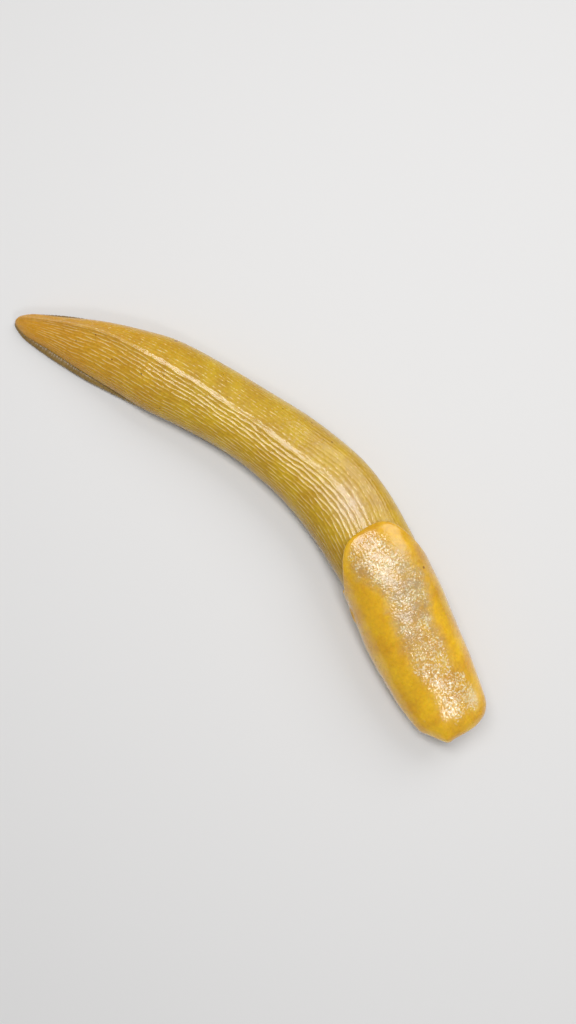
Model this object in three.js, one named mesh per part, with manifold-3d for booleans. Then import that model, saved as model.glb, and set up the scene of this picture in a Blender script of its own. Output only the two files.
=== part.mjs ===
// A banana slug at life size, resting on its sole with its head drawn in under the mantle.
// Millimetres, +Z up. The head faces -Y, the slug's left is +X, and the sole lies on Z = 0.
// The origin is at the bottom centre of the slug's box.
import * as THREE from "three";
import Module from "manifold-3d";

const wasm = await Module();
wasm.setup();

// Driving dimensions
const LENGTH = 183; // of the middle line, which ends at the tip of the tail
const NOSE = { x: 27.15, y: -81.84 }; // where the middle line starts
const GAP = 0.3; // between nodes that touch
const MANTLE_FRONT = 1.6; // along the middle line, as are all the distances below
const MANTLE_LENGTH = 63; // where its rear edge is
const MANTLE_NOSE = 8.2; // the length over which its front rounds off
const MANTLE_POINT = { u: -4.9, ahead: 0.7, half: 1.5 }; // a blunt point on its front edge
const MANTLE_CUT = { u: -9.2, ahead: -1.6, half: 2.8 }; // its right corner, which is drawn back
const MANTLE_LOBE = 13; // how far its rear edge sweeps forward at the sides
const MANTLE_SIDE = 102; // how far down a flank it hangs, in degrees from its top
const MANTLE_DRAPE = { drop: 3, tuck: 1.2 }; // how its sides fall and draw in below the widest point
const MANTLE_LIP = { length: 1.6, drop: 0.55 }; // how its rear edge rounds off
const MANTLE_FRONT_END = 12; // where the point and the drawn back corner have faded out
const HOOD_HOLLOW = { depth: 1.5, from: 7, to: 16 }; // open space over the head, and where it closes
const HOOD_END = 17; // where the mantle starts to lie on the body
const HEAD_FRONT = 4.3; // the tip of the snout
const HEAD_END = 15.5;
const TRUNK_END = 50;
const BACK_ENDS = { back_front: 86, back_middle: 118, back_rear: 148, tail: LENGTH };
const SNOUT = 10.5; // the length over which the head rounds off
const CHIN = 5; // the length over which its underside does
const FOOT_FRONT = 3.4;
const FOOT_END = 183.3;
const FOOT_ENDS = {
  foot_front: 30,
  foot_shoulder: 66,
  foot_middle: 104,
  foot_rear: 146,
  foot_tail: FOOT_END,
};
const FOOT_RIM = { flat: 0.9, edge: 0.45, waist: 0.55 }; // edge above the floor, waist by its height
const FOOT_ROUND = { front: 9, rear: 5 }; // the lengths over which the foot's ends round off
const LIPS = { s: 5.7, u: 1.05, z: 3.5, size: [1.7, 1.15, 1] }; // a lobe each side of the mouth
const MOUTH = [1.9, 0.24, 1]; // half sizes of the slit between them
const UPPER_TENTACLE = { s: 6.2, u: 2.7, z: 4.9, length: 3, radius: 1 };
const LOWER_TENTACLE = { s: 5.4, u: 2.1, z: 3, length: 1.9, radius: 0.6 };
const TENTACLE_SPLAY = 24; // degrees outwards from straight ahead
const EYE_RADIUS = 0.42;
const PORE_PLACE = { s: 43, above: 1.1 }; // the breathing hole, above the mantle's widest point
const PORE_RIM = [2.3, 0.6, 1.5]; // half sizes along, across and up
const PORE_PIT = [1.35, 0.85, 0.75];
const RIDGE_ROWS = 17; // rows of long tubercles over the back
const RIDGE_HEIGHT = 0.34;
const RIDGE_LENGTH = 5.2; // of one long tubercle, along the back
const FRINGE_PITCH = 3.2; // between the grooves across the foot's fringe
const FRINGE_DEPTH = 0.32;

const DEGREE = Math.PI / 180;
const QUARTER = Math.PI / 2;
const SPINE_STEP = 0.5;
const LOW_ANGLE = 130 * DEGREE; // where a flank meets the groove above the foot
const SMOOTH_LOW = 0.91; // the share of that angle below which a ridged flank has no more rows
const KEEL_ANGLE = 9 * DEGREE;
const FLANK_TUCK = 0.14; // how far a flank goes in above the foot, as a share of the half width
const FRONT_POWER = 2.3; // how blunt the fronts of head and foot are: 2 is an ellipse
const MANTLE_POWER = { front: 2.9, across: 2.25 }; // the same for the mantle

// A smooth value along the body from [distance from the front, value] knots, with no overshoot.
function track(knots) {
  const count = knots.length;
  const rise = knots
    .slice(1)
    .map(([s, v], i) => (v - knots[i][1]) / (s - knots[i][0]));
  const slope = knots.map((_, i) => {
    if (i === 0) return rise[0];
    if (i === count - 1) return rise[count - 2];
    const before = rise[i - 1];
    const after = rise[i];
    return before * after > 0 ? (2 * before * after) / (before + after) : 0;
  });
  return (s) => {
    if (s <= knots[0][0]) return knots[0][1];
    if (s >= knots[count - 1][0]) return knots[count - 1][1];
    const i = knots.findIndex(([end]) => s < end) - 1;
    const [s0, v0] = knots[i];
    const [s1, v1] = knots[i + 1];
    const span = s1 - s0;
    const t = (s - s0) / span;
    const ease = t * t * (3 - 2 * t);
    const push = t * (1 - t) * span;
    return v0 + (v1 - v0) * ease + push * ((1 - t) * slope[i] - t * slope[i + 1]);
  };
}

// Direction of the middle line from head to tail, in degrees from +X towards +Y.
const direction = track([
  [0, 93.8],
  [14, 93],
  [38, 88],
  [60, 94.7],
  [82, 108.6],
  [102, 120.2],
  [131, 128.6],
  [158, 133.2],
  [LENGTH, 136.2],
]);

// The body without its mantle and foot
const halfWidth = track([
  [0, 6],
  [15, 9.9],
  [38, 11],
  [62, 12.1],
  [74, 12.2],
  [90, 11.4],
  [114, 10.5],
  [134, 10.8],
  [148, 9.2],
  [160, 7.1],
  [170, 4.8],
  [178, 3.2],
  [LENGTH, 0.8],
]);
const topHeight = track([
  [0, 6.5],
  [8, 9.4],
  [15, 11.2],
  [30, 13.9],
  [50, 15.3],
  [74, 15.4],
  [108, 13.9],
  [136, 12.4],
  [154, 10],
  [168, 7.2],
  [178, 4.5],
  [LENGTH, 2.2],
]);
const grooveHeight = track([
  [0, 2.2],
  [20, 2.8],
  [128, 2.7],
  [163, 2],
  [LENGTH, 1],
]);
const widestShare = track([
  [0, 0.5],
  [128, 0.46],
  [168, 0.36],
  [LENGTH, 0.5],
]); // height of the widest point, as a share of the top's
const roundness = track([
  [60, 2.25],
  [128, 2.1],
  [166, 1.75],
  [LENGTH, 1.9],
]); // 2 is an ellipse, less is a ridge, more is flatter on top
const keelHeight = track([
  [60, 0],
  [80, 0.25],
  [138, 0.5],
  [163, 0.8],
  [180, 0.3],
]);
const keelLean = track([
  [60, 0],
  [74, 1.1],
  [94, -0.2],
  [108, 0],
  [126, 1.6],
  [142, 3.2],
  [156, 4.3],
  [166, 3.4],
  [176, 2.2],
  [LENGTH, 1.2],
]); // how far the keel lies to the slug's left, most where the tail is rolled over
const ridgeShare = track([
  [54, 0],
  [66, 1],
  [158, 1],
  [174, 0.35],
  [LENGTH, 0],
]);

// The foot
const footHalfWidth = track([
  [0, 9],
  [20, 10.1],
  [48, 10.8],
  [78, 11.2],
  [110, 10.2],
  [138, 10.2],
  [154, 9.4],
  [166, 7.5],
  [176, 4.9],
  [LENGTH, 2.4],
]);

// The mantle's outside
const mantleHalfWidth = track([
  [0, 8.4],
  [8, 10.4],
  [22, 12.3],
  [38, 12.9],
  [52, 12.7],
  [MANTLE_LENGTH, 13.2],
]);
const mantleHeight = track([
  [0, 10.4],
  [10, 13.4],
  [22, 16],
  [38, 17.5],
  [50, 17.9],
  [58, 17.6],
  [MANTLE_LENGTH, 16.6],
]);
const mantleEdgeHeight = track([
  [0, 7.8],
  [14, 6.6],
  [48, 6.8],
  [MANTLE_LENGTH, 7.6],
]); // height of its widest point

// The middle line as points every SPINE_STEP, found by following the direction from the nose.
const spine = [{ x: NOSE.x, y: NOSE.y }];
while ((spine.length - 1) * SPINE_STEP < LENGTH) {
  const last = spine[spine.length - 1];
  const angle = direction((spine.length - 0.5) * SPINE_STEP) * DEGREE;
  spine.push({
    x: last.x + Math.cos(angle) * SPINE_STEP,
    y: last.y + Math.sin(angle) * SPINE_STEP,
  });
}

// A place from the distance along the body, the distance to the slug's left and the height.
function place(s, u, z) {
  const at = THREE.MathUtils.clamp(s / SPINE_STEP, 0, spine.length - 1.001);
  const i = Math.floor(at);
  const angle = direction(s) * DEGREE;
  const beyond = s - THREE.MathUtils.clamp(s, 0, LENGTH);
  return new THREE.Vector3(
    THREE.MathUtils.lerp(spine[i].x, spine[i + 1].x, at - i),
    THREE.MathUtils.lerp(spine[i].y, spine[i + 1].y, at - i),
    z,
  ).add(
    new THREE.Vector3(
      u * Math.sin(angle) + beyond * Math.cos(angle),
      -u * Math.cos(angle) + beyond * Math.sin(angle),
      0,
    ),
  );
}

// A point on an arched cross-section: angle 0 is its top and a quarter turn its widest point.
function arch({ width, top, widest, power, groove, tuck }, angle) {
  const side = Math.sign(angle);
  const size = Math.abs(angle);
  if (size <= QUARTER)
    return {
      u: side * width * Math.sin(size) ** (2 / power),
      z: widest + (top - widest) * Math.cos(size) ** (2 / power),
    };
  const low = ((size - QUARTER) / (LOW_ANGLE - QUARTER)) * QUARTER;
  return {
    u: side * (width - tuck * (1 - Math.cos(low))),
    z: widest - (widest - groove) * Math.sin(low),
  };
}

// The long tubercles: rows that run along the back, higher and lower in turn.
function ridge(s, angle) {
  const row = ((angle / QUARTER) * RIDGE_ROWS) / 2;
  const crest = Math.cos(row * 2 * Math.PI);
  const number = Math.round(row);
  const along = Math.cos((s / RIDGE_LENGTH + number / 2) * 2 * Math.PI);
  const fade = THREE.MathUtils.smoothstep(LOW_ANGLE - Math.abs(angle), 0, 0.7);
  return RIDGE_HEIGHT * ridgeShare(s) * fade * crest * (0.75 + 0.25 * along);
}

// A share from 0 to 1 that rounds off like the end of an oval.
const oval = (share, power) =>
  (1 - (1 - THREE.MathUtils.clamp(share, 0, 1)) ** power) ** (1 / power);

// A point of the body's surface, with a margin added all round. The head rounds off to a snout.
function bodyPoint(s, angle, margin = 0) {
  const back = s - HEAD_FRONT + margin;
  const front = oval(back / SNOUT, FRONT_POWER);
  const chin = oval(back / CHIN, 2);
  const low = grooveHeight(s) + GAP / 2;
  const widest = Math.max(topHeight(s) * widestShare(s), low + 0.2);
  const width = halfWidth(s) * front;
  const shape = {
    width,
    top: widest + (topHeight(s) - widest) * front,
    widest,
    power: roundness(s),
    groove: widest - (widest - low) * chin,
    tuck: width * FLANK_TUCK,
  };
  const { u, z } = arch(shape, angle);
  const out = (margin + ridge(s, angle)) * front;
  const keel = keelHeight(s) * Math.exp(-((angle / KEEL_ANGLE) ** 2));
  const lean = keelLean(s) * ((z - low) / (topHeight(s) - low)) ** 2;
  const facing = THREE.MathUtils.clamp(angle, -QUARTER, QUARTER);
  return place(
    s,
    u + out * Math.sin(facing) + lean,
    z + out * Math.cos(facing) + keel,
  );
}

function closedSolid(points, faces) {
  const keys = new Map();
  const kept = [];
  const index = points.map((p) => {
    const key = p
      .toArray()
      .map((c) => Math.round(c * 1e4))
      .join();
    if (!keys.has(key)) {
      keys.set(key, kept.length);
      kept.push(p);
    }
    return keys.get(key);
  });
  const triangles = faces
    .map((face) => face.map((i) => index[i]))
    .filter(([a, b, c]) => a !== b && b !== c && c !== a);
  const build = (flip) =>
    new wasm.Manifold(
      new wasm.Mesh({
        numProp: 3,
        vertProperties: new Float32Array(kept.flatMap((p) => p.toArray())),
        triVerts: new Uint32Array(
          triangles.flatMap(([a, b, c]) => (flip ? [a, c, b] : [a, b, c])),
        ),
      }),
    );
  const made = build(false);
  return made.volume() < 0 ? build(true) : made;
}

// A solid through closed rings of points, all of one length, with a fan over each end.
function loft(rings) {
  const around = rings[0].length;
  const points = rings.flat();
  const faces = [];
  for (let r = 0; r + 1 < rings.length; r++)
    for (let i = 0; i < around; i++) {
      const [a, b] = [r * around + i, r * around + ((i + 1) % around)];
      faces.push([a, b, b + around], [a, b + around, a + around]);
    }
  const cap = (ring, start, turned) => {
    const middle = ring
      .reduce((sum, p) => sum.add(p), new THREE.Vector3())
      .divideScalar(around);
    points.push(middle);
    for (let i = 0; i < around; i++) {
      const [a, b] = [start + i, start + ((i + 1) % around)];
      faces.push(turned ? [points.length - 1, b, a] : [points.length - 1, a, b]);
    }
  };
  cap(rings[0], 0, true);
  cap(rings[rings.length - 1], (rings.length - 1) * around, false);
  return closedSolid(points, faces);
}

// A three.js geometry, closed, as a solid.
function solidOf(geometry) {
  const flat = geometry.index ? geometry.toNonIndexed() : geometry;
  const { array, count } = flat.getAttribute("position");
  const points = Array.from({ length: count }, (_, i) =>
    new THREE.Vector3().fromArray(array, i * 3),
  );
  const faces = points
    .map((_, i) => i)
    .filter((i) => i % 3 === 0)
    .map((i) => [i, i + 1, i + 2]);
  return closedSolid(points, faces);
}

function meshOf(name, solid, material) {
  const parts = solid
    .simplify(0.01)
    .decompose()
    .sort((a, b) => b.volume() - a.volume());
  const { vertProperties, triVerts } = parts[0].getMesh();
  const geometry = new THREE.BufferGeometry();
  geometry.setAttribute("position", new THREE.BufferAttribute(vertProperties, 3));
  geometry.setIndex(new THREE.BufferAttribute(triVerts, 1));
  geometry.computeVertexNormals();
  const mesh = new THREE.Mesh(geometry, material);
  mesh.name = name;
  return mesh;
}

const spread = (from, to, steps) =>
  Array.from({ length: steps + 1 }, (_, i) =>
    THREE.MathUtils.lerp(from, to, i / steps),
  );

// Distances from a start to an end that take in every multiple of a pitch not close to either.
function stops(start, end, pitch) {
  const clear = 0.4;
  const inner = [];
  for (let k = Math.ceil(start / pitch + clear); k * pitch < end - clear * pitch; k++)
    inner.push(k * pitch);
  return [start, ...inner, end];
}

// Angles for a smooth length, and angles on every crest and in every valley of a ridged one.
const SMOOTH_ANGLES = spread(-LOW_ANGLE, LOW_ANGLE, 26);
const RIDGED_ANGLES = [
  ...[-LOW_ANGLE, -LOW_ANGLE * SMOOTH_LOW],
  ...spread(-20, 20, 40).map((k) => (k * QUARTER) / RIDGE_ROWS),
  ...[LOW_ANGLE * SMOOTH_LOW, LOW_ANGLE],
];

function bodySolid(places, angles, margin = () => 0) {
  return loft(
    places.map((s) => angles.map((a) => bodyPoint(s, a, margin(s)))),
  );
}

function backLength(from, to) {
  const places = stops(from + GAP / 2, to - GAP / 2, RIDGE_LENGTH / 2);
  return bodySolid(places, RIDGED_ANGLES);
}

// The foot: a flat sole with a grooved fringe, wider at its edge than where it meets the body.
function footRing(s) {
  const front = oval((s - FOOT_FRONT) / FOOT_ROUND.front, FRONT_POWER);
  const rear = oval((FOOT_END - s) / FOOT_ROUND.rear, 2);
  const half = Math.max(footHalfWidth(s) * front * rear, 0.6);
  const top = grooveHeight(s) - GAP / 2;
  const wave = Math.cos((s / FRINGE_PITCH) * 2 * Math.PI);
  const edge = half - FRINGE_DEPTH * (0.5 - 0.5 * wave);
  const side = [
    [half - Math.min(FOOT_RIM.flat, half / 3), 0],
    [edge, FOOT_RIM.edge],
    [edge - 0.1, top * 0.5],
    [Math.max(half - top * FOOT_RIM.waist, 0.3), top],
  ];
  return [
    ...side.map(([u, z]) => place(s, u, z)),
    ...side.reverse().map(([u, z]) => place(s, -u, z)),
  ];
}

function footLength(from, to) {
  const start = from + (from > FOOT_FRONT ? GAP / 2 : 0);
  const end = to - (to < FOOT_END ? GAP / 2 : 0);
  const places = stops(start, end, FRINGE_PITCH / 2);
  if (from === FOOT_FRONT) places.splice(1, 0, start + 0.25, start + 0.8);
  return loft(places.map(footRing));
}

// How far a bump reaches ahead at a distance to the slug's left.
const bump = ({ u, ahead, half }, at) => ahead * Math.exp(-(((at - u) / half) ** 2));

// A point of the mantle's outside, a share of the way from its front to its rear edge.
function mantlePoint(share, angle) {
  const rear = MANTLE_LENGTH - MANTLE_LOBE * Math.abs(Math.sin(angle)) ** 3;
  const s = THREE.MathUtils.lerp(MANTLE_FRONT, rear, share);
  const front = oval((s - MANTLE_FRONT) / MANTLE_NOSE, MANTLE_POWER.front);
  const edge = mantleEdgeHeight(s);
  const shape = {
    width: mantleHalfWidth(s) * front,
    top: edge + (mantleHeight(s) - edge) * front,
    widest: edge,
    power: MANTLE_POWER.across,
    groove: edge - MANTLE_DRAPE.drop,
    tuck: MANTLE_DRAPE.tuck * front,
  };
  const { u, z } = arch(shape, angle);
  const lip = oval((rear - s) / MANTLE_LIP.length, 2);
  const drop = MANTLE_LIP.drop * (1 - lip);
  const near = 1 - THREE.MathUtils.smoothstep(s, MANTLE_FRONT, MANTLE_FRONT_END);
  const ahead = near * (bump(MANTLE_POINT, u) + bump(MANTLE_CUT, u));
  return place(s - ahead, u - drop * Math.sin(angle), z - drop * Math.cos(angle));
}

// A ball at a place along the body, with its own half sizes along, across and up.
function ball(s, u, z, [along, across, up], sides = 12) {
  const shape = new THREE.SphereGeometry(1, sides, sides / 2);
  const at = place(s, u, z);
  shape
    .scale(across, along, up)
    .rotateZ(direction(s) * DEGREE - QUARTER)
    .translate(at.x, at.y, at.z);
  return solidOf(shape);
}

// The mantle: all that lies between its outside and the body, open over the head as a hood.
function mantleSolid() {
  const side = MANTLE_SIDE * DEGREE;
  const shares = [
    ...spread(0, 1, 7).map((t) => 0.16 * t ** 3),
    ...spread(0.2, 0.97, 16),
    ...[0.98, 0.99, 0.996, 1],
  ];
  const outside = loft(
    shares.map((t) => spread(-side, side, 28).map((a) => mantlePoint(t, a))),
  );
  const { depth, from, to } = HOOD_HOLLOW;
  const headRoom = bodySolid(
    spread(HEAD_FRONT - GAP - depth, HOOD_END + 1, 16),
    SMOOTH_ANGLES,
    (s) => GAP + depth * (1 - THREE.MathUtils.smoothstep(s, from, to)),
  );
  const bodyRoom = bodySolid(
    stops(HOOD_END, MANTLE_LENGTH + 5, RIDGE_LENGTH / 2),
    RIDGED_ANGLES,
    () => GAP,
  );
  const { s, above } = PORE_PLACE;
  const u = 0.1 - mantleHalfWidth(s);
  const z = mantleEdgeHeight(s) + above;
  return outside
    .add(ball(s, u, z, PORE_RIM))
    .subtract(ball(s, u - PORE_RIM[1], z, PORE_PIT))
    .subtract(headRoom)
    .subtract(bodyRoom)
    .subtract(tentacle(UPPER_TENTACLE, 1, GAP))
    .subtract(tentacle(UPPER_TENTACLE, -1, GAP));
}

// The head: a snout with a lobe each side of the mouth, and the slit between them.
function headSolid(margin = 0) {
  const start = HEAD_FRONT - margin;
  const end = HEAD_END - GAP / 2 + margin;
  const places = spread(0, 1, 10).map((t) => start + (end - start) * t ** 1.8);
  const lip = LIPS.size.map((half) => half + margin);
  return [-1, 1]
    .map((side) => ball(LIPS.s, side * LIPS.u, LIPS.z, lip))
    .reduce(
      (made, lobe) => made.add(lobe),
      bodySolid(places, SMOOTH_ANGLES, () => margin),
    );
}

function headWithMouth() {
  return headSolid().subtract(ball(HEAD_FRONT, 0, LIPS.z - 0.2, MOUTH));
}

// A tentacle drawn in to a stub that points forwards and a little outwards.
function tentacle({ s, u, z, length, radius }, side, margin = 0) {
  const wide = radius + margin;
  const tip = length + margin;
  const profile = [
    [0, -1.5],
    [wide * 1.15, -1.5],
    [wide, length * 0.5],
    [wide * 0.96, tip - radius * 0.5],
    [wide * 0.66, tip - radius * 0.12],
    [0, tip],
  ].map(([x, y]) => new THREE.Vector2(x, y));
  const at = place(s, side * u, z);
  const turn = direction(s) + 90 + side * TENTACLE_SPLAY;
  const shape = new THREE.LatheGeometry(profile, 14)
    .rotateZ(turn * DEGREE)
    .translate(at.x, at.y, at.z);
  return solidOf(shape);
}

// The eye at an upper tentacle's tip, as a bead, or as the cup it sits in.
function eye(side, radius) {
  const { s, u, z, length } = UPPER_TENTACLE;
  const turn = (direction(s) + 180 + side * TENTACLE_SPLAY) * DEGREE;
  const at = place(s, side * u, z);
  const shape = new THREE.SphereGeometry(radius, 12, 8).translate(
    at.x + Math.cos(turn) * length,
    at.y + Math.sin(turn) * length,
    at.z,
  );
  return solidOf(shape);
}

function skin(color, roughness = 0.35) {
  return new THREE.MeshStandardMaterial({ color, roughness, metalness: 0 });
}

const BACK = skin(0xc8993a);
const TAIL = skin(0xbf8c37);
const FOOT = skin(0xa8925c, 0.45);
const HEAD = skin(0xcfa24a);
const MANTLE = skin(0xd8a843, 0.3);
const TENTACLE = skin(0xb88d42);
const EYE = skin(0x1b1712, 0.15);

const slug = new THREE.Group();
const add = (name, solid, material) =>
  slug.add(meshOf(name, solid, material));

const trunkPlaces = spread(HEAD_END + GAP / 2, TRUNK_END - GAP / 2, 14);
add("trunk", bodySolid(trunkPlaces, SMOOTH_ANGLES), BACK);

// One node for each length, from where the one before it ends.
function addLengths(start, ends, make, materialOf) {
  let from = start;
  for (const [name, to] of Object.entries(ends)) {
    add(name, make(from, to), materialOf(name));
    from = to;
  }
}
addLengths(TRUNK_END, BACK_ENDS, backLength, (name) => (name === "tail" ? TAIL : BACK));
addLengths(FOOT_FRONT, FOOT_ENDS, footLength, () => FOOT);

add("head", headWithMouth(), HEAD);
add("mantle", mantleSolid(), MANTLE);
const headRoom = headSolid(GAP);
for (const [hand, side] of Object.entries({ left: 1, right: -1 })) {
  const upper = tentacle(UPPER_TENTACLE, side)
    .subtract(headRoom)
    .subtract(eye(side, EYE_RADIUS + GAP));
  add(`upper_tentacle_${hand}`, upper, TENTACLE);
  const lower = tentacle(LOWER_TENTACLE, side).subtract(headRoom);
  add(`lower_tentacle_${hand}`, lower, TENTACLE);
  add(`eye_${hand}`, eye(side, EYE_RADIUS), EYE);
}

export default slug;
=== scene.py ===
"""A banana slug at life size, in the photo's pose, on a plain pale floor.

One skin made from the same named sizes as the solids replaces the nodes of flesh.
Sizes in the shape sections are millimetres, as in the solids, and become metres when a mesh is made.
Angles round the body are radians from its top, and grow towards the slug's left.
"""

import math

import bmesh
import bpy
import numpy as np
from mathutils import Matrix, Vector


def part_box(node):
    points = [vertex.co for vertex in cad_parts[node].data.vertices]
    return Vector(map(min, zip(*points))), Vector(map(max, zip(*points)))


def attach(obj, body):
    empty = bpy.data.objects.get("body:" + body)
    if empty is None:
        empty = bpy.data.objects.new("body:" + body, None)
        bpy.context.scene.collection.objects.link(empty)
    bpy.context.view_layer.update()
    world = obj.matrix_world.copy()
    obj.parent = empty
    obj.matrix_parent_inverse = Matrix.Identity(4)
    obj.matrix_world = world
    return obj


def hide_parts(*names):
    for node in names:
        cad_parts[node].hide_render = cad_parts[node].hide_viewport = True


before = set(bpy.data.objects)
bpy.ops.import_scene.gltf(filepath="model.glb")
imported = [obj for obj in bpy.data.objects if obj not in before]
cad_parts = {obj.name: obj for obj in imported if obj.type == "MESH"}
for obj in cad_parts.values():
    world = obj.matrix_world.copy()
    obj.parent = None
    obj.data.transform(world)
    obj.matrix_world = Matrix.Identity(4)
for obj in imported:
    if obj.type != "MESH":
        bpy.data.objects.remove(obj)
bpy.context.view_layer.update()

MM = 0.001
QUARTER = math.pi / 2

# Photo: 576 x 1024, seen from above by a camera that stands a little towards the head.
PHOTO_HEIGHT = 1024
FOCAL_PX = 1050.0
CAMERA_DISTANCE = 300.0
CAMERA_LEAN = 7.0
PHOTO_TURN = -25.0  # degrees from the photo's axes to the slug's frame
PHOTO_MIDDLE = (9.9, -4.29)  # where the photo's middle meets the floor
SENSOR = 36.0
CLIP_START = 0.01  # metres

# Driving dimensions, as in the solids
LENGTH = 183.0
NOSE = (27.15, -81.84)
MANTLE_FRONT = 1.6
MANTLE_LENGTH = 63.0
MANTLE_NOSE = 8.2
MANTLE_FRONT_END = 12.0
MANTLE_POINT = dict(u=-4.9, ahead=0.7, half=1.5)
MANTLE_CUT = dict(u=-9.2, ahead=-1.6, half=2.8)
MANTLE_LOBE = 13.0
MANTLE_SIDE = math.radians(102)
MANTLE_DRAPE = dict(drop=3.0, tuck=1.2)
MANTLE_LIP = dict(length=1.6, drop=0.55)
MANTLE_POWER = dict(front=2.9, across=2.25)
HEAD_FRONT = 4.3
SNOUT = 10.5
CHIN = 5.0
FOOT_FRONT = 3.4
FOOT_END = 183.3
FOOT_ROUND = dict(front=9.0, rear=5.0)
FRONT_POWER = 2.3
TENTACLE_SPLAY = 24.0
TENTACLES = dict(
    upper=dict(s=6.2, u=2.7, z=4.9, length=3.0, radius=1.0),
    lower=dict(s=5.4, u=2.1, z=3.0, length=1.9, radius=0.6),
)
LOW_ANGLE = math.radians(130)
KEEL_ANGLE = math.radians(9)
FLANK_TUCK = 0.14
TAIL_ROUND = 1.6
BODY_SINK = 0.25  # how far the body's lower edge lies below the top of the foot's groove
LEAST_FLANK = 0.4  # least height of the body's widest point above its lower edge

# The mouth, with a lobe at each side (half sizes are along, across and up), and the breathing pore
LIPS = dict(s=4.9, u=1.05, z=3.3, half=(1.5, 0.95, 0.9), power=1.3, lift=0.5)
MOUTH = dict(half=0.2, height=0.75, depth=0.65, end=(5.5, 6.5))
PORE = dict(s=43.0, above=1.1, half=(2.2, 1.4), pit=(0.28, 0.72), depth=1.1)
PORE_RIM = dict(at=0.8, half=0.3, height=0.28)

# Long tubercles: shares are of a row's half width or of a piece's half length
ROWS = 16  # rows over each side of the back
TUBERCLE = dict(length=6.0, lengths=(0.7, 1.3), height=0.1, heights=(0.7, 1.0), mean=0.45, sway=0.09)
TUBERCLE_CROWN = dict(share=0.65, half=0.33, slope=2.4, end_drop=0.5, end_power=8)
# The crests' pale lines, in dashes and dots, are painted glints
CREST_GLINT = dict(half=0.16, end_power=6)
DASH = dict(length=2.6, apart=7.3, by_height=0.7, edge=(0.2, 0.6), right=0.8, left=0.3)
DOT = dict(size=0.6, edge=(0.2, 0.5))

# Where features of the body come in or fade, in mm along it and in radians round it
ROWS_IN = (46, 66)
ROWS_OUT = (168, LENGTH)
RIDGE_IN = (60, 84)
SHEEN_BAND_IN = (54, 70)
WRINKLES_IN = (5, 8)
WRINKLES_OUT = (14, 40)
LUMPS_IN = (10, 40)
GRAIN_IN = (40, 60)
FLANK_IN = (0.0, 0.45)
LEFT_IN = (0.05, 0.35)
RIGHT_LINES_IN = (-1.5, -0.8)
LEFT_LINES_OUT = (0.3, 0.9)
LOW_SHADE_IN = (1.1, 1.9)
RIGHT_SHADE_IN = (0.6, 1.6)
MANTLE_SHADE_IN = (0.2, 1.0)
MANTLE_SHADE = dict(s=60, along=16)

# How much weaker features get there, and how much darker painted shade makes the skin
WEAKER = dict(tail=0.6, left=0.45, left_lines=0.6, by_ridge=0.85)
DARKER = dict(mouth=0.75, low=0.14, right=0.1, by_mantle=0.16, pore=0.72, crease=0.04, mantle_left=0.16)
# Painted light on the back's ridge: a pale highlight along the ridge and a faint sheen in the band beside it
RIDGE = dict(half=KEEL_ANGLE * 0.17, least=0.65, pale=0.5)
SHEEN_BAND = dict(half=KEEL_ANGLE * 1.7, pale=0.06)
LEAST_LINES = 0.15
PLAIN_RELIEF = dict(body=0.7, mantle=0.6)
# A painted sheen on the back just behind the mantle
BACK_SHEEN = dict(s=71, along=6, angle=-0.05, around=0.3)  # greyish, behind the mantle

# Layers of noise: size, strength and seed
ROW_NOISE = ((11.0, 0.3, 3), (3.5, 0.13, 4))
PIECE_NOISE = ((6.0, 0.16, 5),)
RIDGE_NOISE = ((3.0, 0.35, 7),)
BODY_LUMPS = ((7.0, 0.1, 8),)
BODY_GRAIN = ((0.45, 0.018, 9),)
HEAD_WRINKLES = ((0.9, 0.05, 21),)
WRINKLE_SQUASH = (1, 1, 1.6)
MANTLE_LUMPS = ((6.0, 0.2, 32),)
MANTLE_GRAIN = ((2.2, 0.09, 33),)
GRANULE_NOISE = ((0.9, 0.45, 35),)
SHEEN_NOISE = ((7.0, 0.16, 36), (1.6, 0.14, 37))
GLINT_NOISE = ((3.0, 0.35, 38),)

# The foot and its grooved fringe
FOOT_RIM = dict(width=1.5, least=0.6, ends=1.2, rise=0.15, powers=(0.75, 0.8))
FRINGE = dict(pitch=0.95, depth=0.16, sways=((0.25, 0.9), (0.15, 2.3)), power=0.5, stripe_power=0.4)

# The mantle
MANTLE_THICKNESS = 1.5  # at its front edge
MANTLE_RIM = dict(bulge=0.35, share=0.05)
GRANULE = dict(size=0.9, height=0.12, edge=(0.0, 0.5), middle=0.55, mean=0.4)
# Edges of the sheen band, which has coarser granules and painted sheen, and of its painted glints
SHEEN_EDGE = (0.55, 1.4)
SHEEN_ENDS = dict(front=(2, 9), rear=(0.3, 3))
GLINT_EDGE = (0.2, 1.1)
LEAST_ROUGH = 0.12
CALM = dict(front=(1.9, 4.6), rear=(0, 2.5), side=(0, 0.2))  # no relief along the edges
CREASE = dict(half=0.4, depth=0.07)
CREASES = (
    dict(s=57, bend=2.2, angle=-0.1, reach=0.7, end=0.4),
    dict(s=48.5, bend=0, angle=0.6, reach=0.4, end=0.3),
)
DENT = dict(s=33, along=7, angle=0.55, around=0.3)
DENT_DEPTH = 0.35
# A painted highlight near the mantle's front
GLEAM = dict(s=9.5, along=2.4, angle=0.62, around=0.2)
GLEAM_PALE = 0.75
# Where painted shade darkens the mantle's left flank
LEFT_FLANK_SHADE = dict(angle=(0.6, 0.95), s=(24, 36))

# The tentacles, drawn in to stubs
TENTACLE_ROOT = 1.6  # how far they start inside the head
TENTACLE_TIP = 0.9
TENTACLE_FLARE = dict(share=0.45, at=0.2, length=0.5, power=1.5)
TENTACLE_WRINKLE = dict(pitch=0.36, depth=0.035, middle=0.5, relief=0.3)

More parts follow.
